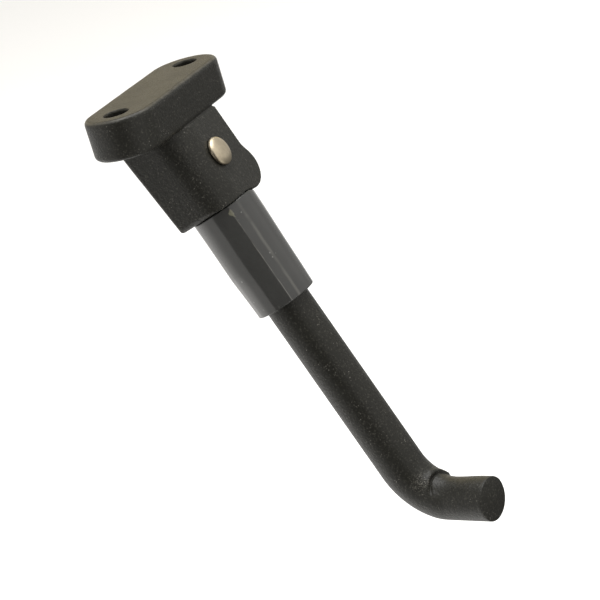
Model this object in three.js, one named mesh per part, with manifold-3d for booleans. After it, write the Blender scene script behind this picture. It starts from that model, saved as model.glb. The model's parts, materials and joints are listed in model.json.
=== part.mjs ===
// Side kickstand of a small scooter: a cast mounting bracket, a bent rod leg that
// folds on a riveted pivot, and a spring-loaded collar under a soft sleeve.
// Millimetres, +Z up. The origin is the centre of the flange's mounting face.
// X runs along the flange, from screw hole to screw hole, and Y points outward,
// the way the leg leans.
import * as THREE from 'three';
import { mergeVertices } from 'three/addons/utils/BufferGeometryUtils.js';
import Module from 'manifold-3d';

const wasm = await Module();
wasm.setup();

// Mounting flange
const FLANGE_LENGTH = 56;
const FLANGE_WIDTH = 19;
const FLANGE_THICKNESS = 10.7;
const FLANGE_EDGE_ROUND = 1.2;
const SCREW_HOLE_RADIUS = 3.3;
const SCREW_HOLE_SPACING = 41;

// Pivot: its place, and the tilt of the leg and housing away from straight down
const TILT = THREE.MathUtils.degToRad(20.5);
const PIVOT_Y = 5.1;
const PIVOT_Z = -23;

// Housing under the flange, measured from the pivot. Near is the rivet head's side.
const HOUSING_BACK = 11.35;
const HOUSING_FRONT = 11.7;
const HOUSING_BOTTOM = 12.4;
const HOUSING_TOP = 18;
const HOUSING_NEAR_SIDE = 8.75;
const HOUSING_FAR_SIDE = 8.8;
const HOUSING_DRAFT = 0.05;
const NEAR_BACK_ROUND = 8.5;
const FAR_BACK_ROUND = 1;
const FRONT_ROUND = 0.5;
const EAR_FRONT = 13.5;
const EAR_BOTTOM = 13.5;
const SLOT_HALF_WIDTH = 6.3;

// Leg: a turned neck and eye, a long straight rod, a bend and a short foot
const ROD_RADIUS = 6.2;
const NECK_RADIUS = 5;
const EYE_RADIUS = 6;
const SHOULDER_DEPTH = 39;
const CORNER_DEPTH = 106.3;
const FOOT_REACH = 21.9;
const BEND_RADIUS = 15;
const BEND_ANGLE = THREE.MathUtils.degToRad(69.4);
const BEND_TWIST = THREE.MathUtils.degToRad(13);

// Pivot hardware
const RIVET_RADIUS = 3;
const RIVET_HEAD_RADIUS = 4;
const RIVET_HEAD_HEIGHT = 1.9;
const RIVET_WASHER_RADIUS = 5.6;
const RIVET_WASHER_THICKNESS = 1;
const WASHER_SEAT = 8.4;
const BUSH_RADIUS = 4;
const THRUST_WASHER_RADIUS = 5.6;

// Spring pack
const SLEEVE_TOP_DEPTH = 12.7;
const SLEEVE_BOTTOM_DEPTH = 42.2;
const SLEEVE_TOP_RADIUS = 9.45;
const SLEEVE_BOTTOM_RADIUS = 8.5;
const SLEEVE_WALL = 1.3;
const COLLAR_RADIUS = 7.1;
const COLLAR_NOSE_HALF_WIDTH = 5.9;
const COLLAR_RING_DEPTH = 16.8;
const COLLAR_BOTTOM_DEPTH = 20;
const SEAT_THICKNESS = 1.2;
const SPRING_WIRE_RADIUS = 0.75;
const SPRING_COIL_RADIUS = 6.05;
const SPRING_ACTIVE_TURNS = 5;

// Clearances
const GAP = 0.3;
const RUNNING_GAP = 0.2;

// Cutting tools reach past what they cut by this much
const REACH = 60;

const coat = new THREE.MeshStandardMaterial({ color: 0x1d1d1e, roughness: 0.55, metalness: 0 });
const vinyl = new THREE.MeshStandardMaterial({ color: 0x2b2b2e, roughness: 0.25, metalness: 0 });
const rivetSteel = new THREE.MeshStandardMaterial({ color: 0xb8b1a6, roughness: 0.35, metalness: 1 });
const zincSteel = new THREE.MeshStandardMaterial({ color: 0x9a9c9e, roughness: 0.4, metalness: 1 });
const springSteel = new THREE.MeshStandardMaterial({ color: 0x55575a, roughness: 0.35, metalness: 1 });
const bronze = new THREE.MeshStandardMaterial({ color: 0x9c7a45, roughness: 0.5, metalness: 1 });

function solid(geometry) {
  const bare = geometry.clone();
  bare.deleteAttribute('normal');
  bare.deleteAttribute('uv');
  const merged = mergeVertices(bare, 1e-4);
  const vertProperties = new Float32Array(merged.attributes.position.array);
  const triVerts = new Uint32Array(merged.index.array);
  return new wasm.Manifold(new wasm.Mesh({ numProp: 3, vertProperties, triVerts }));
}

function geometryOf(body) {
  const mesh = body.getMesh();
  const geometry = new THREE.BufferGeometry();
  geometry.setAttribute('position', new THREE.BufferAttribute(mesh.vertProperties, 3));
  geometry.setIndex(new THREE.BufferAttribute(mesh.triVerts, 1));
  return geometry;
}

// A cylinder along the pin axis (Y) between two stations
function pinwise(radius, low, high, segments = 40) {
  return new THREE.CylinderGeometry(radius, radius, high - low, segments).translate(0, (low + high) / 2, 0);
}

// A cylinder along Z between two stations
function upright(radius, low, high, segments = 40) {
  const cylinder = new THREE.CylinderGeometry(radius, radius, high - low, segments);
  return cylinder.rotateX(Math.PI / 2).translate(0, 0, (low + high) / 2);
}

// A flat ring on the pin axis
function washer(inner, outer, low, high) {
  return geometryOf(solid(pinwise(outer, low, high)).subtract(solid(pinwise(inner, low - 1, high + 1))));
}

// A shape drawn in the swing plane (x back, y up), made a slab of this half width
function swingSlab(shape, halfWidth) {
  const settings = { depth: 2 * halfWidth, bevelEnabled: false, curveSegments: 10 };
  const slab = new THREE.ExtrudeGeometry(shape, settings);
  return slab.translate(0, 0, -halfWidth).rotateX(Math.PI / 2);
}

function flange() {
  const end = FLANGE_LENGTH / 2 - FLANGE_WIDTH / 2;
  const outline = new THREE.Shape();
  outline.absarc(end, 0, FLANGE_WIDTH / 2, -Math.PI / 2, Math.PI / 2, false);
  outline.absarc(-end, 0, FLANGE_WIDTH / 2, Math.PI / 2, 1.5 * Math.PI, false);
  const plate = new THREE.ExtrudeGeometry(outline, {
    depth: FLANGE_THICKNESS - 2 * FLANGE_EDGE_ROUND,
    bevelThickness: FLANGE_EDGE_ROUND,
    bevelSize: FLANGE_EDGE_ROUND,
    bevelOffset: -FLANGE_EDGE_ROUND,
    bevelSegments: 3,
    curveSegments: 18,
  });
  let body = solid(plate.translate(0, 0, FLANGE_EDGE_ROUND - FLANGE_THICKNESS));
  for (const side of [-1, 1]) {
    const hole = upright(SCREW_HOLE_RADIUS, -REACH, REACH, 32).translate(side * SCREW_HOLE_SPACING / 2, 0, 0);
    body = body.subtract(solid(hole));
  }
  return body;
}

// The housing's side outline: straight back, level bottom, and a round ear that
// stands out at the lower front corner. grow moves the outline outward.
function housingOutline(grow) {
  const back = HOUSING_BACK + GAP + grow;
  const front = -HOUSING_FRONT - grow;
  const bottom = -HOUSING_BOTTOM - grow;
  const earFront = -EAR_FRONT - grow;
  const earBottom = -EAR_BOTTOM - grow;
  const round = 3;
  const outline = new THREE.Shape();
  outline.moveTo(back, HOUSING_TOP);
  outline.lineTo(front, HOUSING_TOP);
  outline.lineTo(front, -1);
  outline.bezierCurveTo(front, -4, earFront, -4.2, earFront, -7.5);
  outline.bezierCurveTo(earFront, -10.4, -10.6, earBottom, -6.6, earBottom);
  outline.bezierCurveTo(-4.4, earBottom, -3, bottom, 0.5, bottom);
  outline.lineTo(back - round, bottom);
  outline.quadraticCurveTo(back, bottom, back, bottom + round);
  return outline;
}

// The housing's plan: a thick slab with a well rounded near back corner. It sets the
// back face and both sides, and the outline sets the rest.
function housingPlan() {
  const quarter = Math.PI / 2;
  const back = HOUSING_BACK;
  const front = FRONT_ROUND - GAP - EAR_FRONT;
  const plan = new THREE.Shape();
  const near = HOUSING_NEAR_SIDE;
  const far = -HOUSING_FAR_SIDE;
  plan.absarc(back - NEAR_BACK_ROUND, near - NEAR_BACK_ROUND, NEAR_BACK_ROUND, 0, quarter, false);
  plan.absarc(front, near - FRONT_ROUND, FRONT_ROUND, quarter, 2 * quarter, false);
  plan.absarc(front, far + FRONT_ROUND, FRONT_ROUND, 2 * quarter, 3 * quarter, false);
  plan.absarc(back - FAR_BACK_ROUND, far + FAR_BACK_ROUND, FAR_BACK_ROUND, 3 * quarter, 4 * quarter, false);
  return plan;
}

// Casting draft: the back and the far side lean outward towards the flange
function drafted(geometry) {
  const position = geometry.attributes.position;
  for (let i = 0; i < position.count; i += 1) {
    const widening = 1 + HOUSING_DRAFT * position.getZ(i) / HOUSING_BACK;
    position.setX(i, position.getX(i) * (position.getX(i) > 0 ? widening : 1));
    position.setY(i, position.getY(i) * (position.getY(i) < 0 ? widening : 1));
  }
  return geometry;
}

// The slot that the leg folds into: open below and at the front. The roof lip stops
// the folded leg and the back wall's foot stops the lowered one.
function slotOutline() {
  const stop = NECK_RADIUS + GAP;
  const roomy = EYE_RADIUS + 0.6;
  const outline = new THREE.Shape();
  outline.moveTo(stop, -REACH);
  outline.lineTo(stop, -roomy);
  outline.lineTo(roomy, -roomy + 1.5);
  outline.lineTo(roomy, 0);
  outline.absarc(0, 0, roomy, 0, Math.PI / 2, false);
  outline.lineTo(-roomy + 1.5, roomy);
  outline.lineTo(-roomy, stop);
  outline.lineTo(-REACH, stop);
  outline.lineTo(-REACH, -REACH);
  return outline;
}

function housing() {
  const planBody = new THREE.ExtrudeGeometry(housingPlan(), {
    depth: 2 * REACH, bevelEnabled: false, curveSegments: 8,
  });
  let body = solid(drafted(swingSlab(housingOutline(0), HOUSING_NEAR_SIDE + 1)));
  body = body.intersect(solid(drafted(planBody.translate(0, 0, -REACH))));
  body = body.subtract(solid(swingSlab(slotOutline(), SLOT_HALF_WIDTH)));
  body = body.subtract(solid(pinwise(RIVET_WASHER_RADIUS + GAP, -REACH, -WASHER_SEAT)));
  return body.subtract(solid(pinwise(RIVET_RADIUS + RUNNING_GAP, -REACH, REACH, 32)));
}

function mountBracket() {
  const placed = new THREE.Matrix4().makeRotationX(TILT).setPosition(0, PIVOT_Y, PIVOT_Z);
  const tilted = solid(geometryOf(housing()).applyMatrix4(placed));
  const below = new THREE.BoxGeometry(REACH, REACH, REACH);
  below.translate(0, (REACH - FLANGE_WIDTH) / 2 + RUNNING_GAP, -REACH / 2 - FLANGE_THICKNESS);
  const root = new THREE.BoxGeometry(REACH, FLANGE_WIDTH - 2 * FLANGE_EDGE_ROUND, FLANGE_THICKNESS);
  const room = solid(below).add(solid(root.translate(0, 0, -FLANGE_THICKNESS)));
  return geometryOf(flange().add(tilted.intersect(room)));
}

// Half a dome's profile, from its rim to its crown, on either end of the pin
function domeProfile(radius, height, base, direction) {
  const points = [];
  const steps = 7;
  for (let i = 0; i <= steps; i += 1) {
    const turn = (i / steps) * Math.PI / 2;
    const r = i === steps ? 0 : radius * Math.cos(turn);
    points.push(new THREE.Vector2(r, base + direction * (0.5 + (height - 0.5) * Math.sin(turn))));
  }
  return [new THREE.Vector2(radius, base), ...points];
}

function pivotRivet() {
  const headBase = HOUSING_NEAR_SIDE + RUNNING_GAP;
  const tailBase = -WASHER_SEAT - RIVET_WASHER_THICKNESS - 2 * RUNNING_GAP;
  const tail = domeProfile(RIVET_HEAD_RADIUS, RIVET_HEAD_HEIGHT, tailBase, -1).reverse();
  const head = domeProfile(RIVET_HEAD_RADIUS, RIVET_HEAD_HEIGHT, headBase, 1);
  const shank = [new THREE.Vector2(RIVET_RADIUS, tailBase), new THREE.Vector2(RIVET_RADIUS, headBase)];
  return new THREE.LatheGeometry([...tail, ...shank, ...head], 32);
}

function rivetWasher() {
  const high = -WASHER_SEAT - RUNNING_GAP;
  return washer(RIVET_RADIUS + RUNNING_GAP, RIVET_WASHER_RADIUS, high - RIVET_WASHER_THICKNESS, high);
}

function pivotBush() {
  return washer(RIVET_RADIUS + RUNNING_GAP, BUSH_RADIUS, -NECK_RADIUS + 0.1, NECK_RADIUS - 0.1);
}

function thrustWasher(side) {
  const inner = NECK_RADIUS + RUNNING_GAP;
  const outer = SLOT_HALF_WIDTH - RUNNING_GAP;
  const low = side > 0 ? inner : -outer;
  const high = side > 0 ? outer : -inner;
  return washer(RIVET_RADIUS + RUNNING_GAP, THRUST_WASHER_RADIUS, low, high);
}

// The rod's centre line from the shoulder to the foot: a straight, an arc and a straight.
// Its parameter spends most of its steps on the arc.
class RodPath extends THREE.Curve {
  constructor() {
    super();
    const lean = Math.sin(BEND_ANGLE);
    this.down = new THREE.Vector3(0, 0, -1);
    const drop = Math.cos(BEND_ANGLE);
    this.foot = new THREE.Vector3(lean * Math.sin(BEND_TWIST), lean * Math.cos(BEND_TWIST), -drop);
    this.side = this.foot.clone().addScaledVector(this.down, -drop).divideScalar(lean);
    this.tangentLength = BEND_RADIUS * Math.tan(BEND_ANGLE / 2);
    this.bendStart = this.down.clone().multiplyScalar(CORNER_DEPTH - this.tangentLength);
    this.corner = this.down.clone().multiplyScalar(CORNER_DEPTH);
  }

  getUtoTmapping(u) {
    return u;
  }

  getPoint(t, target = new THREE.Vector3()) {
    const arcShare = 0.8;
    const startShare = (1 - arcShare) / 2;
    if (t < startShare) {
      const depth = THREE.MathUtils.lerp(SHOULDER_DEPTH, CORNER_DEPTH - this.tangentLength, t / startShare);
      return target.copy(this.down).multiplyScalar(depth);
    }
    if (t > 1 - startShare) {
      const along = THREE.MathUtils.lerp(this.tangentLength, FOOT_REACH, 1 - (1 - t) / startShare);
      return target.copy(this.corner).addScaledVector(this.foot, along);
    }
    const turn = BEND_ANGLE * (t - startShare) / arcShare;
    target.copy(this.bendStart).addScaledVector(this.down, BEND_RADIUS * Math.sin(turn));
    return target.addScaledVector(this.side, BEND_RADIUS * (1 - Math.cos(turn)));
  }
}

function circle(radius) {
  const shape = new THREE.Shape();
  shape.absarc(0, 0, radius, 0, 2 * Math.PI, false);
  return shape;
}

function leg() {
  const settings = { steps: 20, extrudePath: new RodPath(), curveSegments: 20 };
  const rod = new THREE.ExtrudeGeometry(circle(ROD_RADIUS), settings);
  const neck = upright(NECK_RADIUS, -SHOULDER_DEPTH - 1, 0);
  const eye = pinwise(EYE_RADIUS, -NECK_RADIUS, NECK_RADIUS);
  let body = solid(rod).add(solid(neck)).add(solid(eye));
  return geometryOf(body.subtract(solid(pinwise(BUSH_RADIUS + RUNNING_GAP, -REACH, REACH, 32))));
}

// A ring around the leg with a nose that reaches up between the housing's cheeks
function camCollar() {
  const ring = solid(upright(COLLAR_RADIUS, -COLLAR_BOTTOM_DEPTH, -COLLAR_RING_DEPTH));
  const noseTop = -HOUSING_BOTTOM - GAP;
  const noseFoot = -COLLAR_RING_DEPTH - 1;
  const noseWidth = 2 * COLLAR_NOSE_HALF_WIDTH;
  const noseBlock = new THREE.BoxGeometry(2 * COLLAR_RADIUS, noseWidth, noseTop - noseFoot);
  const nose = solid(upright(COLLAR_RADIUS, noseFoot - 1, noseTop + 1));
  const trimmed = nose.intersect(solid(noseBlock.translate(0, 0, (noseTop + noseFoot) / 2)));
  const bore = solid(upright(NECK_RADIUS + RUNNING_GAP, -REACH, REACH));
  return geometryOf(ring.add(trimmed).subtract(bore));
}

function springSeat() {
  const low = -SHOULDER_DEPTH + RUNNING_GAP;
  const disc = solid(upright(COLLAR_RADIUS - RUNNING_GAP, low, low + SEAT_THICKNESS));
  return geometryOf(disc.subtract(solid(upright(NECK_RADIUS + RUNNING_GAP, -REACH, REACH))));
}

// A compression spring with one closed turn at each end
class SpringPath extends THREE.Curve {
  getPoint(t, target = new THREE.Vector3()) {
    const turns = SPRING_ACTIVE_TURNS + 2;
    const top = -COLLAR_BOTTOM_DEPTH - RUNNING_GAP - SPRING_WIRE_RADIUS;
    const bottom = -SHOULDER_DEPTH + 2 * RUNNING_GAP + SEAT_THICKNESS + SPRING_WIRE_RADIUS;
    const closedPitch = 2 * SPRING_WIRE_RADIUS + 0.15;
    const done = t * turns;
    let drop = closedPitch * Math.min(done, 1);
    const active = THREE.MathUtils.clamp((done - 1) / SPRING_ACTIVE_TURNS, 0, 1);
    drop += active * (top - bottom - 2 * closedPitch);
    drop += closedPitch * Math.max(done - 1 - SPRING_ACTIVE_TURNS, 0);
    const turn = done * 2 * Math.PI;
    return target.set(SPRING_COIL_RADIUS * Math.cos(turn), SPRING_COIL_RADIUS * Math.sin(turn), top - drop);
  }
}

function returnSpring() {
  const steps = 18 * (SPRING_ACTIVE_TURNS + 2);
  const wire = circle(SPRING_WIRE_RADIUS);
  return new THREE.ExtrudeGeometry(wire, { steps, extrudePath: new SpringPath(), curveSegments: 4 });
}

// A soft tapered tube over the collar and spring, its top edge cut to the housing's foot
function sleeve() {
  const profile = [
    new THREE.Vector2(SLEEVE_TOP_RADIUS - SLEEVE_WALL, -SLEEVE_TOP_DEPTH),
    new THREE.Vector2(SLEEVE_BOTTOM_RADIUS - SLEEVE_WALL, -SLEEVE_BOTTOM_DEPTH),
    new THREE.Vector2(SLEEVE_BOTTOM_RADIUS, -SLEEVE_BOTTOM_DEPTH),
    new THREE.Vector2(SLEEVE_TOP_RADIUS, -SLEEVE_TOP_DEPTH),
    new THREE.Vector2(SLEEVE_TOP_RADIUS - SLEEVE_WALL, -SLEEVE_TOP_DEPTH),
  ];
  const tube = solid(new THREE.LatheGeometry(profile, 48).rotateX(Math.PI / 2));
  return geometryOf(tube.subtract(solid(swingSlab(housingOutline(GAP), SLEEVE_TOP_RADIUS + 1))));
}

const kickstand = new THREE.Group();
const tiltedPieces = new THREE.Group();
tiltedPieces.position.set(0, PIVOT_Y, PIVOT_Z);
tiltedPieces.rotation.x = TILT;
kickstand.add(tiltedPieces);

function place(parent, name, geometry, material) {
  const mesh = new THREE.Mesh(geometry, material.clone());
  mesh.name = name;
  parent.add(mesh);
}

place(kickstand, 'mount_bracket', mountBracket(), coat);
place(tiltedPieces, 'pivot_rivet', pivotRivet(), rivetSteel);
place(tiltedPieces, 'rivet_washer', rivetWasher(), zincSteel);
place(tiltedPieces, 'leg', leg(), coat);
place(tiltedPieces, 'pivot_bush', pivotBush(), bronze);
place(tiltedPieces, 'thrust_washer_outer', thrustWasher(1), zincSteel);
place(tiltedPieces, 'thrust_washer_inner', thrustWasher(-1), zincSteel);
place(tiltedPieces, 'cam_collar', camCollar(), zincSteel);
place(tiltedPieces, 'return_spring', returnSpring(), springSteel);
place(tiltedPieces, 'spring_seat', springSeat(), zincSteel);
place(tiltedPieces, 'spring_sleeve', sleeve(), vinyl);

export default kickstand;
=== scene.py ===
"""The looks of the side kickstand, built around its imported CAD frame.

Lengths in the modelling functions are millimetres in the tilted frame: x towards the
housing's closed back, y along the rivet, z up the leg, with the pivot at the origin.
Everything is placed into the row frame, in metres, through TILTED.
"""

import json
import math

import bmesh
import bpy
from mathutils import Matrix, Vector, noise


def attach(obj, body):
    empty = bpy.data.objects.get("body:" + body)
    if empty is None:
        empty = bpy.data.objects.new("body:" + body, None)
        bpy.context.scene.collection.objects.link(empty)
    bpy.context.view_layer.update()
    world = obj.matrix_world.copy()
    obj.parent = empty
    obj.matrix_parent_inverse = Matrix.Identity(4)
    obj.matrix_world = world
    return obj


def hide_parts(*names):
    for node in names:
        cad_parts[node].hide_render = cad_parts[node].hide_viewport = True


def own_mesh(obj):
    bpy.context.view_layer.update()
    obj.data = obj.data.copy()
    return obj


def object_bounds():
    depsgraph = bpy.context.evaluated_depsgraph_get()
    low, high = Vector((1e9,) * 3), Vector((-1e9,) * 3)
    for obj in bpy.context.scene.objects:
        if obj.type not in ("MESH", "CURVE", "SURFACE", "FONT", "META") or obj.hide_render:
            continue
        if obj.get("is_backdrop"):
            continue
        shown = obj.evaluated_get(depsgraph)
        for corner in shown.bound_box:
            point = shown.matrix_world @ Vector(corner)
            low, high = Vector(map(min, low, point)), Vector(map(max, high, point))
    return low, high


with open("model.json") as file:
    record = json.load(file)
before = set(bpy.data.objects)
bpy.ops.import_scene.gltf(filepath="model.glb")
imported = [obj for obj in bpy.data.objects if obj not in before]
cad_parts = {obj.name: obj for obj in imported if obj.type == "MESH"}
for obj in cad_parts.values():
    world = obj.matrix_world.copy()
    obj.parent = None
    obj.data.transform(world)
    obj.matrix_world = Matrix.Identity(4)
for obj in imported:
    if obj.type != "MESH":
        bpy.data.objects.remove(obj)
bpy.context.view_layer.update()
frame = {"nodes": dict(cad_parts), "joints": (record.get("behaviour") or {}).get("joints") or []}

MM = 0.001

joints = {joint["name"]: joint for joint in frame["joints"]}
PIVOT = Vector(joints["leg_fold"]["pos_m"])
PIN = Vector(joints["leg_fold"]["axis"])
DOWN = Vector(joints["collar_slide"]["axis"])
BACK = PIN.cross(-DOWN)
TILT = math.atan2(DOWN.y, -DOWN.z)
TILTED_AXES = Matrix((BACK, PIN, -DOWN)).transposed().to_4x4()
TILTED = Matrix.Translation(PIVOT) @ TILTED_AXES @ Matrix.Scale(MM, 4)

# Housing
HOUSING_NEAR_SIDE = 8.75
HOUSING_BOTTOM = 12.4
EAR_BOTTOM = 13.5
SLOT_HALF_WIDTH = 6.3

# Leg
ROD_RADIUS = 6.2
NECK_RADIUS = 5.0
EYE_RADIUS = 6.0
SHOULDER_DEPTH = 39.0
CORNER_DEPTH = 106.3
FOOT_REACH = 21.9
BEND_RADIUS = 15.0
BEND_ANGLE = math.radians(69.4)
BEND_TWIST = math.radians(13.0)
BEND_LENGTH = BEND_RADIUS * BEND_ANGLE
BEND_TANGENT = BEND_RADIUS * math.tan(BEND_ANGLE / 2)
STRAIGHT_LENGTH = CORNER_DEPTH - BEND_TANGENT - SHOULDER_DEPTH
BAR_LENGTH = STRAIGHT_LENGTH + BEND_LENGTH + FOOT_REACH - BEND_TANGENT

# Pivot hardware
RIVET_RADIUS = 3.0
RIVET_HEAD_RADIUS = 4.0
RIVET_HEAD_HEIGHT = 1.9
RIVET_WASHER_RADIUS = 5.6
RIVET_WASHER_THICKNESS = 1.0
WASHER_SEAT = 8.4
BUSH_RADIUS = 4.0
THRUST_WASHER_RADIUS = 5.6
RUNNING_GAP = 0.2

# Spring pack
SLEEVE_TOP_DEPTH = 12.55
SLEEVE_BOTTOM_DEPTH = 42.2
SLEEVE_TOP_RADIUS = 9.45
SLEEVE_BOTTOM_RADIUS = 8.5
SLEEVE_WALL = 1.3
TUCK = 0.7
TUCK_ANGLE = math.radians(-58)
COLLAR_RADIUS = 7.1
COLLAR_BOTTOM_DEPTH = 20.0
SEAT_THICKNESS = 1.2
SPRING_WIRE_RADIUS = 0.75
SPRING_COIL_RADIUS = 6.05
SPRING_ACTIVE_TURNS = 5

# Painted highlight lines along the sleeve's creases: angle around the leg, half width,
# strength. One painted highlight spot near its top, by angle and depth.
CREASE_HIGHLIGHTS = ((40.5, 1.3, 0.50), (58.0, 4.6, 0.30), (152.0, 2.0, 0.3), (-112.0, 1.8, 0.3))
HIGHLIGHT_SPOT = (40.0, 14.7)

# Camera: the direction to it, its roll about that direction, and its distance
CAMERA_AZIMUTH = math.radians(28.24)
CAMERA_ELEVATION = math.radians(17.65)
CAMERA_ROLL = math.radians(-16.79)
CAMERA_DISTANCE = 0.6
CAMERA_TARGET = Vector((0.0071, 0.0275, -0.0605))
CAMERA_LENS = 139.9

# The stand hangs from its deck, clear of the floor
FLOOR_DROP = 0.06


# Meshes

def new_object(name, vertices, faces):
    """An object from points in the row frame, in metres, with outward faces."""
    mesh = bpy.data.meshes.new(name)
    mesh.from_pydata([tuple(v) for v in vertices], [], faces)
    piece = bpy.data.objects.new(name, mesh)
    bpy.context.scene.collection.objects.link(piece)
    build = bmesh.new()
    build.from_mesh(mesh)
    bmesh.ops.recalc_face_normals(build, faces=build.faces)
    build.to_mesh(mesh)
    build.free()
    return piece


def smooth(piece, angle=40):
    """Shades a mesh smooth, with a hard line where faces meet at more than angle degrees."""
    piece.data.shade_smooth()
    piece.data.set_sharp_from_angle(angle=math.radians(angle))


def apply_modifiers(piece):
    evaluated = piece.evaluated_get(bpy.context.evaluated_depsgraph_get())
    mesh = bpy.data.meshes.new_from_object(evaluated)
    piece.modifiers.clear()
    piece.data = mesh


def push_out(piece, height):
    """Moves each vertex along its normal by height(point), in millimetres."""
    vertices = piece.data.vertices
    starts = [vertex.co.copy() for vertex in vertices]
    normals = [vertex.normal.copy() for vertex in vertices]
    moved = []
    for start, normal in zip(starts, normals):
        moved.extend(start + normal * height(start) * MM)
    vertices.foreach_set("co", moved)
    piece.data.update()


def dress(piece, material, body, slot, *nodes):
    """Gives a finished piece its material and its body, and hides the CAD nodes it stands for."""
    piece.data.materials.clear()
    piece.data.materials.append(material)
    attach(piece, body)
    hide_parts(*nodes)


def cad_copy(name, node):
    """A new object with the CAD node's shape, for a piece that refines it."""
    source = frame["nodes"][node]
    piece = bpy.data.objects.new(name, source.data.copy())
    bpy.context.scene.collection.objects.link(piece)
    build = bmesh.new()
    build.from_mesh(piece.data)
    bmesh.ops.remove_doubles(build, verts=build.verts, dist=0.002 * MM)
    build.to_mesh(piece.data)
    build.free()
    return piece


def bridge(rings, closed=True):
    """Quads between rings of equal length, and from the last ring to the first if closed."""
    count = len(rings[0])
    faces = []
    pairs = list(zip(rings, rings[1:]))
    if closed:
        pairs.append((rings[-1], rings[0]))
    for low, high in pairs:
        for i in range(count):
            j = (i + 1) % count
            faces.append((low[i], low[j], high[j], high[i]))
    return faces


def spun(name, profile, along, segments=96):
    """A turned piece: a profile of (radius, height) about the pin or the leg's axis.
    Points on the axis close it, and a profile with none closes on itself."""
    vertices = []
    rings = []
    tips = []
    for radius, height in profile:
        if radius < 1e-6:
            tips.append((len(rings), len(vertices)))
            vertices.append((0.0, height, 0.0) if along == "pin" else (0.0, 0.0, height))
            continue
        ring = []
        for i in range(segments):
            turn = 2 * math.pi * i / segments
            across, deep = radius * math.cos(turn), radius * math.sin(turn)
            ring.append(len(vertices))
            vertices.append((across, height, deep) if along == "pin" else (across, deep, height))
        rings.append(ring)
    faces = bridge(rings, closed=not tips)
    for before, tip in tips:
        ring = rings[0] if before == 0 else rings[-1]
        faces += [(ring[i], ring[(i + 1) % segments], tip) for i in range(segments)]
    return new_object(name, [TILTED @ Vector(v) for v in vertices], faces)


def ring_profile(inner, outer, low, high, edge=0.18):
    """The section of a flat ring with rounded edges."""
    corners = [(outer, low, -1, 1), (outer, high, -1, -1), (inner, high, 1, -1), (inner, low, 1, 1)]
    starts = [-90, 0, 90, 180]
    points = []
    for (radius, height, inward, upward), start in zip(corners, starts):
        centre = (radius + inward * edge, height + upward * edge)
        for step in range(4):
            turn = math.radians(start + 30 * step)
            points.append((centre[0] + edge * math.cos(turn), centre[1] + edge * math.sin(turn)))
    return points


def step_up(value, low, high):
    """0 below low, 1 above high, and smooth between."""
    t = min(max((value - low) / (high - low), 0.0), 1.0)
    return t * t * (3 - 2 * t)


def bell(value, centre, width):
    return math.exp(-((value - centre) / width) ** 2)


# The bar's path

def rod_station(along):
    """The rod's centre, its direction and the way to the inside of the bend, at a
    distance along it from the shoulder, with the share of the bend that is behind."""
    down = Vector((0, 0, -1))
    side = Vector((math.sin(BEND_TWIST), math.cos(BEND_TWIST), 0))
    turn = min(max(along - STRAIGHT_LENGTH, 0) / BEND_RADIUS, BEND_ANGLE)
    centre = down * (SHOULDER_DEPTH + min(along, STRAIGHT_LENGTH))
    centre += down * BEND_RADIUS * math.sin(turn) + side * BEND_RADIUS * (1 - math.cos(turn))
    direction = down * math.cos(turn) + side * math.sin(turn)
    inside = side * math.cos(turn) - down * math.sin(turn)
    centre += direction * max(along - STRAIGHT_LENGTH - BEND_LENGTH, 0)
    return centre, direction, inside, turn / BEND_ANGLE


def glint_place():
    """Where a painted highlight patch sits on the bar's inside, just before the crescent groove in its
    bend.
    """
    centre, direction, inside, _ = rod_station(STRAIGHT_LENGTH + 0.45 * BEND_LENGTH)
    angle = math.radians(42)
    outward = inside * math.cos(angle) + direction.cross(inside) * math.sin(angle)
    return TILTED @ (centre + outward * ROD_RADIUS)


# Materials

def new_material(name, color, roughness, metallic=0.0, specular=0.5):
    material = bpy.data.materials.new(name)
    material.use_nodes = True
    shader = material.node_tree.nodes["Principled BSDF"]
    shader.inputs["Base Color"].default_value = (*color, 1)
    shader.inputs["Roughness"].default_value = roughness
    shader.inputs["Metallic"].default_value = metallic
    shader.inputs["Specular IOR Level"].default_value = specular
    return material


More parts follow.
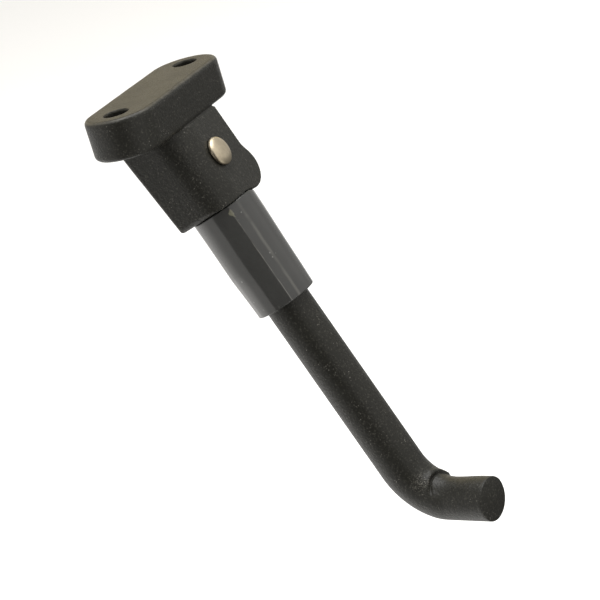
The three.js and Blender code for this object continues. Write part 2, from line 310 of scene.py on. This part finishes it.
class Nodes:
    """Short calls for building one material's node tree."""

    def __init__(self, material):
        self.tree = material.node_tree
        self.shader = self.tree.nodes["Principled BSDF"]
        self.coordinates = self.add("ShaderNodeTexCoord").outputs["Object"]

    def add(self, kind, **settings):
        node = self.tree.nodes.new(kind)
        for key, value in settings.items():
            setattr(node, key, value)
        return node

    def link(self, output, socket):
        self.tree.links.new(output, socket)

    def along_leg(self, scale):
        """Coordinates turned so that Z runs up the leg, scaled on each axis."""
        turned = self.add("ShaderNodeMapping")
        turned.inputs["Rotation"].default_value = (-TILT, 0, 0)
        stretched = self.add("ShaderNodeMapping")
        stretched.inputs["Scale"].default_value = scale
        self.link(self.coordinates, turned.inputs["Vector"])
        self.link(turned.outputs["Vector"], stretched.inputs["Vector"])
        return stretched.outputs["Vector"]

    def around_leg(self):
        """The angle around the leg's axis in degrees, 0 at the back and 90 towards the
        rivet's head, the depth below the pivot in millimetres, and that depth alone as
        coordinates."""
        centred = self.add("ShaderNodeMapping")
        centred.inputs["Location"].default_value = -PIVOT
        self.link(self.coordinates, centred.inputs["Vector"])
        turned = self.add("ShaderNodeMapping")
        turned.inputs["Rotation"].default_value = (-TILT, 0, 0)
        self.link(centred.outputs["Vector"], turned.inputs["Vector"])
        split = self.add("ShaderNodeSeparateXYZ")
        self.link(turned.outputs["Vector"], split.inputs["Vector"])
        radians = self.math("ARCTAN2", split.outputs["Y"], split.outputs["X"])
        depth = self.math("MULTIPLY", split.outputs["Z"], -1 / MM)
        along = self.add("ShaderNodeCombineXYZ")
        self.link(depth, along.inputs["Z"])
        return self.math("DEGREES", radians, 0), depth, along.outputs["Vector"]

    def noise(self, scale, detail=3.0, roughness=0.55, vector=None):
        node = self.add("ShaderNodeTexNoise")
        node.inputs["Scale"].default_value = scale
        node.inputs["Detail"].default_value = detail
        node.inputs["Roughness"].default_value = roughness
        self.link(vector or self.coordinates, node.inputs["Vector"])
        return node.outputs["Fac"]

    def cells(self, scale, vector=None):
        node = self.add("ShaderNodeTexVoronoi", feature="F1")
        node.inputs["Scale"].default_value = scale
        self.link(vector or self.coordinates, node.inputs["Vector"])
        return node.outputs["Distance"]

    def remap(self, value, low, high, to_low=0.0, to_high=1.0):
        node = self.add("ShaderNodeMapRange", interpolation_type="SMOOTHSTEP")
        node.inputs["From Min"].default_value = low
        node.inputs["From Max"].default_value = high
        node.inputs["To Min"].default_value = to_low
        node.inputs["To Max"].default_value = to_high
        self.link(value, node.inputs["Value"])
        return node.outputs["Result"]

    def math(self, operation, a, b):
        node = self.add("ShaderNodeMath", operation=operation)
        for socket, value in zip(node.inputs, (a, b)):
            if isinstance(value, (int, float)):
                socket.default_value = value
            else:
                self.link(value, socket)
        return node.outputs["Value"]

    def mix(self, amount, first, second):
        node = self.add("ShaderNodeMix", data_type="RGBA")
        self.link(amount, node.inputs["Factor"])
        for name, value in (("A", first), ("B", second)):
            socket = [s for s in node.inputs if s.name == name and s.type == "RGBA"][0]
            if isinstance(value, tuple):
                socket.default_value = (*value, 1)
            else:
                self.link(value, socket)
        return [s for s in node.outputs if s.type == "RGBA"][0]

    def bump(self, height, distance, strength=1.0, under=None):
        node = self.add("ShaderNodeBump")
        node.inputs["Strength"].default_value = strength
        node.inputs["Distance"].default_value = distance
        self.link(height, node.inputs["Height"])
        if under is not None:
            self.link(under, node.inputs["Normal"])
        return node.outputs["Normal"]

    def near(self, place, radius):
        """1 at a place, fading to 0 at a radius from it."""
        apart = self.add("ShaderNodeVectorMath", operation="DISTANCE")
        self.link(self.coordinates, apart.inputs[0])
        apart.inputs[1].default_value = place
        return self.remap(apart.outputs["Value"], radius, 0.25 * radius)

    def edges(self, low, high):
        """1 on convex edges, 0 on flat ground."""
        return self.remap(self.add("ShaderNodeNewGeometry").outputs["Pointiness"], low, high)

    def finish(self, color=None, roughness=None, normal=None):
        if color is not None:
            self.link(color, self.shader.inputs["Base Color"])
        if roughness is not None:
            self.link(roughness, self.shader.inputs["Roughness"])
        if normal is not None:
            self.link(normal, self.shader.inputs["Normal"])


def powder_coat():
    """Black textured powder coat: a pebbled grain, scattered pale flecks and dust, with painted
    glints and painted sheen on the bar's bend, convex edges lighter partly as wear and partly
    as painted highlight, and a painted highlight line along the flange's top rim."""
    material = new_material("black_powder_coat", (0.0115, 0.011, 0.0085), 0.4, specular=0.32)
    nodes = Nodes(material)
    pebbles = nodes.noise(1500, detail=3, roughness=0.65)
    swell = nodes.noise(520, detail=2)
    patches = nodes.noise(110, detail=3)
    dots = nodes.remap(nodes.cells(1350), 0.26, 0.08)
    sparse = nodes.remap(nodes.noise(260, detail=2), 0.50, 0.72)
    # A painted highlight patch on the bar's bend: pale flecks, glint flecks and lighter dust gather there.
    glint_patch = nodes.near(glint_place(), 4 * MM)
    specks_and_glints = nodes.math("MULTIPLY", dots, nodes.math("MAXIMUM", sparse, glint_patch))
    # Painted glints, only near that patch.
    glint_flecks = nodes.remap(nodes.cells(2500), 0.40, 0.16, 0.0, 0.75)
    specks_and_glints = nodes.math("MAXIMUM", specks_and_glints, nodes.math("MULTIPLY", glint_flecks, glint_patch))
    dust = nodes.remap(nodes.noise(2100, detail=2), 0.54, 0.72)
    # Near the painted highlight patch the dust grows, as painted sheen.
    dust = nodes.math("MULTIPLY", dust, nodes.math("ADD", nodes.math("MULTIPLY", glint_patch, 0.4), 0.6))
    # Convex edges painted lighter: partly wear, partly painted highlight.
    worn_and_highlit_edges = nodes.math("MULTIPLY", nodes.edges(0.53, 0.62), nodes.remap(nodes.noise(500), 0.4, 0.7))
    color = nodes.mix(patches, (0.0098, 0.0094, 0.0068), (0.0140, 0.0135, 0.0099))
    color = nodes.mix(dust, color, (0.060, 0.057, 0.046))
    # Pale flecks of the coat everywhere, and painted glints near the bend.
    color = nodes.mix(nodes.math("MULTIPLY", specks_and_glints, 0.95), color, (0.17, 0.16, 0.14))
    color = nodes.mix(nodes.math("MULTIPLY", worn_and_highlit_edges, 0.5), color, (0.07, 0.067, 0.056))
    # A painted highlight line along the flange's top rim, just below the deck face.
    split = nodes.add("ShaderNodeSeparateXYZ")
    nodes.link(nodes.coordinates, split.inputs["Vector"])
    below_rim = nodes.remap(split.outputs["Z"], -0.70 * MM, -0.30 * MM)
    rim = nodes.math("MULTIPLY", below_rim, nodes.remap(split.outputs["Z"], -0.05 * MM, -0.20 * MM))
    rim = nodes.math("MULTIPLY", rim, nodes.remap(nodes.noise(400), 0.3, 0.6, 0.2, 0.7))
    color = nodes.mix(rim, color, (0.075, 0.070, 0.057))
    roughness = nodes.remap(patches, 0.3, 0.7, 0.38, 0.43)
    normal = nodes.bump(swell, 0.05 * MM, 0.6)
    normal = nodes.bump(pebbles, 0.18 * MM, 1.0, under=normal)
    nodes.finish(color, roughness, normal)
    return material


def crease_highlights(nodes, around, depth, along):
    """1 on the painted highlight lines along the creases, which wander a little and fade towards the
    sleeve's top.
    """
    wander = nodes.remap(nodes.noise(0.14, detail=2, vector=along), 0.3, 0.7, -0.6, 0.6)
    turned = nodes.math("ADD", around, wander)
    fading = nodes.remap(nodes.noise(140, detail=2), 0.38, 0.60, 0.25, 1.0)
    fading = nodes.math("MULTIPLY", fading, nodes.remap(depth, 14, 22, 0.35, 1.0))
    pale = None
    for place, width, strength in CREASE_HIGHLIGHTS:
        away = nodes.math("ABSOLUTE", nodes.math("SUBTRACT", turned, place), 0)
        faded = nodes.math("MULTIPLY", fading, strength)
        line = nodes.math("MULTIPLY", nodes.remap(away, width, 0.0), faded)
        pale = line if pale is None else nodes.math("MAXIMUM", pale, line)
    return pale


def highlight_spot(nodes, around, depth):
    """Above 0 on a small ragged painted highlight spot."""
    beside = nodes.math("DIVIDE", nodes.math("SUBTRACT", around, HIGHLIGHT_SPOT[0]), 4.5)
    below = nodes.math("SUBTRACT", depth, HIGHLIGHT_SPOT[1])
    away = nodes.math("ADD", nodes.math("POWER", beside, 2), nodes.math("POWER", below, 2))
    ragged = nodes.math("ADD", away, nodes.remap(nodes.noise(750), 0.3, 0.7, -1.1, 1.6))
    return nodes.remap(ragged, 1.5, 0.2, 0.0, 0.8)


def soft_vinyl():
    """Glossy dark grey vinyl: fine drawn streaks along the tube, painted highlight lines
    along its creases and a painted highlight spot, dust flecks and faint clouds."""
    material = new_material("soft_vinyl", (0.035, 0.035, 0.034), 0.12, specular=0.55)
    nodes = Nodes(material)
    streaks = nodes.noise(1, detail=4, roughness=0.6, vector=nodes.along_leg((1400, 1400, 35)))
    clouds = nodes.noise(160, detail=3)
    flecks = nodes.remap(nodes.cells(420), 0.16, 0.07)
    sparse = nodes.math("MULTIPLY", flecks, nodes.remap(nodes.noise(120, detail=1), 0.56, 0.64))
    around, depth, along = nodes.around_leg()
    color = nodes.mix(clouds, (0.031, 0.031, 0.0295), (0.044, 0.044, 0.0415))
    # Painted highlights along the creases.
    color = nodes.mix(crease_highlights(nodes, around, depth, along), color, (0.19, 0.185, 0.165))
    # A painted highlight spot near the sleeve's top.
    color = nodes.mix(highlight_spot(nodes, around, depth), color, (0.15, 0.145, 0.105))
    color = nodes.mix(nodes.math("MULTIPLY", sparse, 0.7), color, (0.25, 0.25, 0.24))
    roughness = nodes.remap(streaks, 0.25, 0.75, 0.09, 0.17)
    normal = nodes.bump(streaks, 0.012 * MM, 0.5)
    nodes.finish(color, roughness, normal)
    return material


def turned_metal(name, color, roughness, grain=2600, depth=0.01, dark=0.72):
    """Bare or plated metal with a fine grain and cloudy tarnish."""
    material = new_material(name, color, roughness, metallic=1.0)
    nodes = Nodes(material)
    fine = nodes.noise(grain, detail=4, roughness=0.65)
    clouds = nodes.noise(420, detail=4, roughness=0.6)
    tarnished = tuple(channel * dark for channel in color)
    shade = nodes.mix(nodes.remap(clouds, 0.35, 0.7), tarnished, color)
    spread = nodes.remap(clouds, 0.3, 0.7, roughness * 1.35, roughness * 0.85)
    nodes.finish(shade, spread, nodes.bump(fine, depth * MM, 0.6))
    return material


coat = powder_coat()
vinyl = soft_vinyl()
rivet_steel = turned_metal("rivet_steel", (0.60, 0.52, 0.385), 0.38, dark=0.82)
zinc = turned_metal("zinc_plate", (0.58, 0.59, 0.61), 0.36)
spring_wire = turned_metal("spring_wire", (0.20, 0.205, 0.21), 0.33, dark=0.6)
bronze = turned_metal("sintered_bronze", (0.50, 0.33, 0.15), 0.5, grain=1500, depth=0.03)


# Pieces

def cast_bracket():
    """The bracket with its cast fillets: the CAD shape remeshed finely and relaxed."""
    piece = cad_copy("cast_bracket", "mount_bracket")
    remesh = piece.modifiers.new("remesh", "REMESH")
    remesh.mode = "VOXEL"
    remesh.voxel_size = 0.22 * MM
    relax = piece.modifiers.new("relax", "SMOOTH")
    relax.factor = 0.5
    relax.iterations = 5
    apply_modifiers(piece)
    push_out(piece, lambda point: 0.03 * noise.noise(point / (5 * MM)))
    piece.data.shade_smooth()
    dress(piece, coat, "bracket", "black_coat", "mount_bracket")


def bend_swell(bent, past, angle):
    """How far the bar stands out from its stock radius. On the inside of the bend a low lip
    ends in a crescent-shaped groove, and the foot after it is pressed a little flatter,
    which fades with the distance past the bend."""
    turn = (math.degrees(angle) + 180) % 360 - 180
    inside = step_up(-abs(turn + 8), -76, -48)
    crescent = min(0.58 + 0.12 * ((turn - 5) / 45) ** 2, 0.76)
    lip = 0.2 * bell(bent, crescent - 0.09, 0.07) * inside
    groove = 0.3 * bell(bent, crescent, 0.026) * inside
    pressed = step_up(bent, crescent - 0.05, crescent) * (0.6 - 0.4 * step_up(past, 0, 9)) * inside
    drawn = 0.3 * step_up(bent, 0.75, 1.0) * (1 - inside)
    return lip - groove - pressed - drawn


def leg_head():
    """The turned neck and the eye: the CAD shape above the shoulder, with broken edges."""
    piece = cad_copy("leg_head", "leg")
    build = bmesh.new()
    build.from_mesh(piece.data)
    shoulder = TILTED @ Vector((0, 0, -SHOULDER_DEPTH - 0.3))
    everything = list(build.verts) + list(build.edges) + list(build.faces)
    cut = bmesh.ops.bisect_plane(build, geom=everything, plane_co=shoulder, plane_no=DOWN, clear_outer=True)
    rim = [item for item in cut["geom_cut"] if isinstance(item, bmesh.types.BMEdge)]
    bmesh.ops.contextual_create(build, geom=rim)
    build.to_mesh(piece.data)
    build.free()
    bevel = piece.modifiers.new("bevel", "BEVEL")
    bevel.width = 0.35 * MM
    bevel.segments = 3
    bevel.limit_method = "ANGLE"
    bevel.angle_limit = math.radians(40)
    apply_modifiers(piece)
    return piece


def leg_bar():
    """The bent bar below the shoulder, and the head above it."""
    segments = 112
    bend_end = STRAIGHT_LENGTH + BEND_LENGTH
    stations = [(0.0, 0.4), (0.15, 0.12), (0.4, 0.0)]
    stations += [(1 + i * (STRAIGHT_LENGTH - 2) / 60, 0.0) for i in range(61)]
    stations += [(STRAIGHT_LENGTH + i * BEND_LENGTH / 180, 0.0) for i in range(181)]
    stations += [(bend_end + i * (BAR_LENGTH - 1 - bend_end) / 14, 0.0) for i in range(1, 15)]
    stations += [(BAR_LENGTH - 0.35, 0.0), (BAR_LENGTH - 0.12, 0.08), (BAR_LENGTH, 0.3)]
    vertices = []
    rings = []
    for along, cut in stations:
        centre, direction, inside, bent = rod_station(along)
        other = direction.cross(inside)
        past = max(along - bend_end, 0)
        ring = []
        for i in range(segments):
            angle = 2 * math.pi * i / segments
            radius = ROD_RADIUS - cut + bend_swell(bent, past, angle)
            ring.append(len(vertices))
            point = centre + inside * radius * math.cos(angle) + other * radius * math.sin(angle)
            vertices.append(TILTED @ point)
        rings.append(ring)
    faces = bridge(rings, closed=False)
    for ring, along in ((rings[0], 0.0), (rings[-1], BAR_LENGTH)):
        centre = len(vertices)
        vertices.append(TILTED @ rod_station(along)[0])
        faces += [(ring[i], ring[(i + 1) % segments], centre) for i in range(segments)]
    rod = new_object("leg_bar", vertices, faces)
    head = leg_head()
    joined = bmesh.new()
    joined.from_mesh(rod.data)
    joined.from_mesh(head.data)
    joined.to_mesh(rod.data)
    joined.free()
    bpy.data.objects.remove(head)
    smooth(rod, 32)
    dress(rod, coat, "leg", "black_coat", "leg")


def sleeve_top(x):
    """How far down the sleeve's top edge is where the housing's foot and ears press on it."""
    ear = step_up(-x, -0.5, 6.0) * (1 - 0.6 * step_up(-x, 7.0, 10.0))
    return SLEEVE_TOP_DEPTH + (EAR_BOTTOM - HOUSING_BOTTOM) * ear


def sleeve_radius(depth):
    share = (depth - SLEEVE_TOP_DEPTH) / (SLEEVE_BOTTOM_DEPTH - SLEEVE_TOP_DEPTH)
    return SLEEVE_TOP_RADIUS + (SLEEVE_BOTTOM_RADIUS - SLEEVE_TOP_RADIUS) * share


def vinyl_sleeve():
    """The tapered sleeve, with the faint lengthwise creases of drawn vinyl and its top
    tucked in by TUCK on one side. Its top edge dips under the housing's ears, by
    EAR_BOTTOM less HOUSING_BOTTOM."""
    segments = 240
    rows = 90
    creases = ((40.5, 0.05, 2.0), (58, 0.06, 3.2), (90, 0.03, 2.4), (-32, 0.03, 4.0),
               (152, 0.05, 2.4), (197, 0.04, 2.5), (248, 0.05, 2.2), (294, 0.04, 2.2))
    vertices = []

    def ring_at(share, wall):
        ring = []
        for i in range(segments):
            angle = 2 * math.pi * i / segments
            x, y = math.cos(angle), math.sin(angle)
            top = sleeve_top(x * SLEEVE_TOP_RADIUS)
            depth = top + (SLEEVE_BOTTOM_DEPTH - top) * share
            radius = sleeve_radius(depth) - wall
            turn = math.degrees(angle)
            for place, height, width in creases:
                away = (turn - place + 180) % 360 - 180
                drift = 2.2 * noise.noise(Vector((place, share * 2.0, 0)))
                strength = 0.6 + 0.8 * noise.noise(Vector((place, share * 3.0, 7)))
                radius += height * strength * bell(away + drift, 0, width)
            wave = noise.noise(Vector((x * 1.3, y * 1.3, share * 2.5)))
            tucked = max(0.0, (30 - depth) / (30 - SLEEVE_TOP_DEPTH))
            tucked *= max(0.0, math.cos(angle - TUCK_ANGLE)) ** 2
            radius += 0.07 * wave - TUCK * tucked
            ring.append(len(vertices))
            vertices.append(TILTED @ Vector((radius * x, radius * y, -depth)))
        return ring

    rounds = ((0.0, 0.16), (0.002, 0.05), (0.006, 0.0))
    outer = [ring_at(share, wall) for share, wall in rounds]
    outer += [ring_at((i + 1) / (rows + 1), 0.0) for i in range(rows)]
    outer += [ring_at(1 - share, wall) for share, wall in reversed(rounds)]
    inner = [ring_at(1 - i / 20, SLEEVE_WALL) for i in range(21)]
    piece = new_object("vinyl_sleeve", vertices, bridge(outer + inner))
    smooth(piece, 50)
    dress(piece, vinyl, "collar", "sleeve_vinyl", "spring_sleeve")
    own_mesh(piece)


def dome(radius, height, base, outward, rim=0.45):
    """A low domed head's profile from its seat to its crown, with a rounded rim."""
    points = [(radius - 0.18, base), (radius - 0.04, base + outward * 0.08), (radius, base + outward * 0.2)]
    cap = height - rim
    steps = 16
    for i in range(steps + 1):
        turn = math.pi / 2 * i / steps
        across = radius * math.cos(turn) ** 0.82 if i < steps else 0
        points.append((across, base + outward * (rim + cap * math.sin(turn))))
    return points


def headed_rivet():
    """The pivot rivet: a smooth domed head, a shank, and a tail spun over its washer."""
    seat = HOUSING_NEAR_SIDE + RUNNING_GAP
    tail = WASHER_SEAT + RIVET_WASHER_THICKNESS + 2 * RUNNING_GAP
    formed = dome(RIVET_HEAD_RADIUS, RIVET_HEAD_HEIGHT, -tail, -1)
    formed = formed[:-4] + [(1.0, -tail - 1.62), (0.6, -tail - 1.4), (0, -tail - 1.35)]
    head = dome(RIVET_HEAD_RADIUS, RIVET_HEAD_HEIGHT, seat, 1)
    profile = formed[::-1] + [(RIVET_RADIUS, -tail), (RIVET_RADIUS, seat)] + head
    piece = spun("headed_rivet", profile, "pin")
    smooth(piece, 50)
    dress(piece, rivet_steel, "bracket", "rivet_steel", "pivot_rivet")


def turned_rings():
    """The washers, the bush and the spring's seat."""
    bore = RIVET_RADIUS + RUNNING_GAP
    washer_high = -WASHER_SEAT - RUNNING_GAP
    inner_face = NECK_RADIUS + RUNNING_GAP
    outer_face = SLOT_HALF_WIDTH - RUNNING_GAP
    seat_low = RUNNING_GAP - SHOULDER_DEPTH
    pins = (
        ("plain_washer", bore, RIVET_WASHER_RADIUS, washer_high - RIVET_WASHER_THICKNESS, washer_high,
         zinc, "bracket", "zinc_steel", "rivet_washer"),
        ("eye_bush", bore, BUSH_RADIUS, 0.1 - NECK_RADIUS, NECK_RADIUS - 0.1,
         bronze, "leg", "bush_bronze", "pivot_bush"),
        ("outer_shim", bore, THRUST_WASHER_RADIUS, inner_face, outer_face,
         zinc, "leg", "zinc_steel", "thrust_washer_outer"),
        ("inner_shim", bore, THRUST_WASHER_RADIUS, -outer_face, -inner_face,
         zinc, "leg", "zinc_steel", "thrust_washer_inner"),
    )
    for name, inner, outer, low, high, material, body, slot, node in pins:
        piece = spun(name, ring_profile(inner, outer, low, high), "pin", 80)
        smooth(piece, 35)
        dress(piece, material, body, slot, node)
    seat = spun("seat_washer", ring_profile(NECK_RADIUS + RUNNING_GAP, COLLAR_RADIUS - RUNNING_GAP,
                                            seat_low, seat_low + SEAT_THICKNESS), "leg", 96)
    smooth(seat, 35)
    dress(seat, zinc, "leg", "zinc_steel", "spring_seat")


def nosed_collar():
    """The sliding collar: the CAD shape with broken edges."""
    piece = cad_copy("nosed_collar", "cam_collar")
    bevel = piece.modifiers.new("bevel", "BEVEL")
    bevel.width = 0.2 * MM
    bevel.segments = 3
    bevel.limit_method = "ANGLE"
    bevel.angle_limit = math.radians(40)
    apply_modifiers(piece)
    smooth(piece, 35)
    dress(piece, zinc, "collar", "zinc_steel", "cam_collar")


def coil_spring():
    """A compression spring with closed ends whose wire thins to a ground tip."""
    turns = SPRING_ACTIVE_TURNS + 2
    steps = turns * 40
    sides = 14
    top = -COLLAR_BOTTOM_DEPTH - RUNNING_GAP - SPRING_WIRE_RADIUS
    bottom = -SHOULDER_DEPTH + 2 * RUNNING_GAP + SEAT_THICKNESS + SPRING_WIRE_RADIUS
    closed_pitch = 2 * SPRING_WIRE_RADIUS + 0.15
    active_drop = top - bottom - 2 * closed_pitch
    vertices = []
    rings = []
    for i in range(steps + 1):
        done = turns * i / steps
        drop = closed_pitch * (min(done, 1) + max(done - 1 - SPRING_ACTIVE_TURNS, 0))
        drop += active_drop * min(max((done - 1) / SPRING_ACTIVE_TURNS, 0), 1)
        turn = 2 * math.pi * done
        outward = Vector((math.cos(turn), math.sin(turn), 0))
        centre = outward * SPRING_COIL_RADIUS + Vector((0, 0, top - drop))
        tip = min(done, turns - done) * SPRING_COIL_RADIUS * 2 * math.pi
        wire = SPRING_WIRE_RADIUS * (0.82 + 0.18 * step_up(tip, 0, 0.5))
        ring = []
        for k in range(sides):
            angle = 2 * math.pi * k / sides
            ring.append(len(vertices))
            offset = outward * math.cos(angle) + Vector((0, 0, math.sin(angle)))
            vertices.append(TILTED @ (centre + offset * wire))
        rings.append(ring)
    faces = bridge(rings, closed=False) + [tuple(rings[0]), tuple(rings[-1])]
    piece = new_object("coil_spring", vertices, faces)
    smooth(piece, 50)
    dress(piece, spring_wire, "leg", "spring_steel", "return_spring")
    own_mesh(piece)


cast_bracket()
headed_rivet()
turned_rings()
leg_bar()
nosed_collar()
coil_spring()
vinyl_sleeve()


# Studio

def pale_floor():
    """A wide pale floor that glows a little, so that it stays white far from the lamp."""
    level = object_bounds()[0].z - FLOOR_DROP
    half = 3.0
    corners = [(-half, -half, level), (half, -half, level), (half, half, level), (-half, half, level)]
    floor = new_object("floor", corners, [(0, 1, 2, 3)])
    material = new_material("pale_floor", (0.93, 0.93, 0.93), 0.9, specular=0.1)
    shader = material.node_tree.nodes["Principled BSDF"]
    shader.inputs["Emission Color"].default_value = (1, 1, 1, 1)
    shader.inputs["Emission Strength"].default_value = 0.14
    floor.data.materials.append(material)
    floor.visible_glossy = False
    floor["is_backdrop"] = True


def studio_world():
    """White light all round. Reflections also see the dim side of the room behind the
    camera, a dimmer side with a dark strip low down, a pale patch of floor on the other
    side, and a warm window opposite with a dim roof above it."""
    world = bpy.data.worlds.new("studio")
    bpy.context.scene.world = world
    world.use_nodes = True
    tree = world.node_tree
    background = tree.nodes["Background"]

    def math_node(operation, a, b=0.0):
        node = tree.nodes.new("ShaderNodeMath")
        node.operation = operation
        for socket, value in zip(node.inputs, (a, b)):
            if isinstance(value, (int, float)):
                socket.default_value = value
            else:
                tree.links.new(value, socket)
        return node.outputs["Value"]

    def ramp(value, low, high):
        node = tree.nodes.new("ShaderNodeMapRange")
        node.interpolation_type = "SMOOTHSTEP"
        node.inputs["From Min"].default_value = low
        node.inputs["From Max"].default_value = high
        tree.links.new(value, node.inputs["Value"])
        return node.outputs["Result"]

    def times(a, b):
        return math_node("MULTIPLY", a, b)

    def without(mask, amount):
        """1 outside a mask, and less inside it by amount."""
        return math_node("SUBTRACT", 1.0, times(mask, amount))

    split = tree.nodes.new("ShaderNodeSeparateXYZ")
    generated = tree.nodes.new("ShaderNodeTexCoord").outputs["Generated"]
    tree.links.new(generated, split.inputs["Vector"])
    azimuth = math_node("DEGREES", math_node("ARCTAN2", split.outputs["Y"], split.outputs["X"]))
    height = split.outputs["Z"]

    def around(centre, outer, inner):
        """1 within inner degrees of an azimuth, 0 beyond outer degrees."""
        return ramp(math_node("ABSOLUTE", math_node("SUBTRACT", azimuth, centre)), outer, inner)

    room = times(around(15, 32.5, 30.5), ramp(height, 0.75, 0.45))
    strip = times(around(142, 62, 34), ramp(height, 0.0, -0.16))
    corner = times(around(172, 50, 22), ramp(height, -0.12, 0.0))
    glow = times(around(-84, 46, 20), ramp(height, -0.37, -0.47))
    roof = times(around(-110, 85, 50), ramp(height, 0.42, 0.7))
    window = times(around(-142, 50, 28), times(ramp(height, 0.0, 0.2), ramp(height, 0.75, 0.5)))
    shade = times(without(room, 0.93), times(without(strip, 0.8), without(corner, 0.38)))
    shade = times(math_node("ADD", shade, glow), without(roof, 0.65))

    seen = tree.nodes.new("ShaderNodeLightPath").outputs["Is Camera Ray"]
    unseen = math_node("SUBTRACT", 1.0, seen)
    tint = tree.nodes.new("ShaderNodeMix")
    tint.data_type = "RGBA"
    tree.links.new(times(window, unseen), tint.inputs[0])
    tint.inputs[6].default_value = (1.0, 0.985, 0.955, 1)
    tint.inputs[7].default_value = (1.0, 0.86, 0.56, 1)
    tree.links.new(tint.outputs[2], background.inputs["Color"])
    strength = math_node("ADD", times(shade, unseen), times(seen, 1.1))
    tree.links.new(strength, background.inputs["Strength"])


def softbox(name, place, aim, size, power):
    light = bpy.data.lights.new(name, "AREA")
    light.shape = "SQUARE"
    light.size = size
    light.energy = power
    box = bpy.data.objects.new(name, light)
    bpy.context.scene.collection.objects.link(box)
    box.location = place
    box.rotation_euler = (Vector(aim) - Vector(place)).to_track_quat("-Z", "Y").to_euler()


def photo_camera():
    camera = bpy.data.cameras.new("camera")
    camera.lens = CAMERA_LENS
    camera.sensor_width = 36
    camera.clip_start = 0.01
    view = bpy.data.objects.new("camera", camera)
    bpy.context.scene.collection.objects.link(view)
    level = math.cos(CAMERA_ELEVATION)
    towards = Vector((level * math.cos(CAMERA_AZIMUTH), level * math.sin(CAMERA_AZIMUTH),
                      math.sin(CAMERA_ELEVATION)))
    right = Vector((0, 0, 1)).cross(towards).normalized()
    turn = Matrix((right, towards.cross(right), towards)).transposed().to_4x4()
    spin = Matrix.Rotation(CAMERA_ROLL, 4, "Z")
    view.matrix_world = Matrix.Translation(CAMERA_TARGET + towards * CAMERA_DISTANCE) @ turn @ spin
    bpy.context.scene.camera = view


pale_floor()
studio_world()
softbox("top_softbox", (-0.1, 0.1, 0.9), CAMERA_TARGET, 0.8, 11)
photo_camera()
bpy.context.scene.view_settings.view_transform = "Standard"
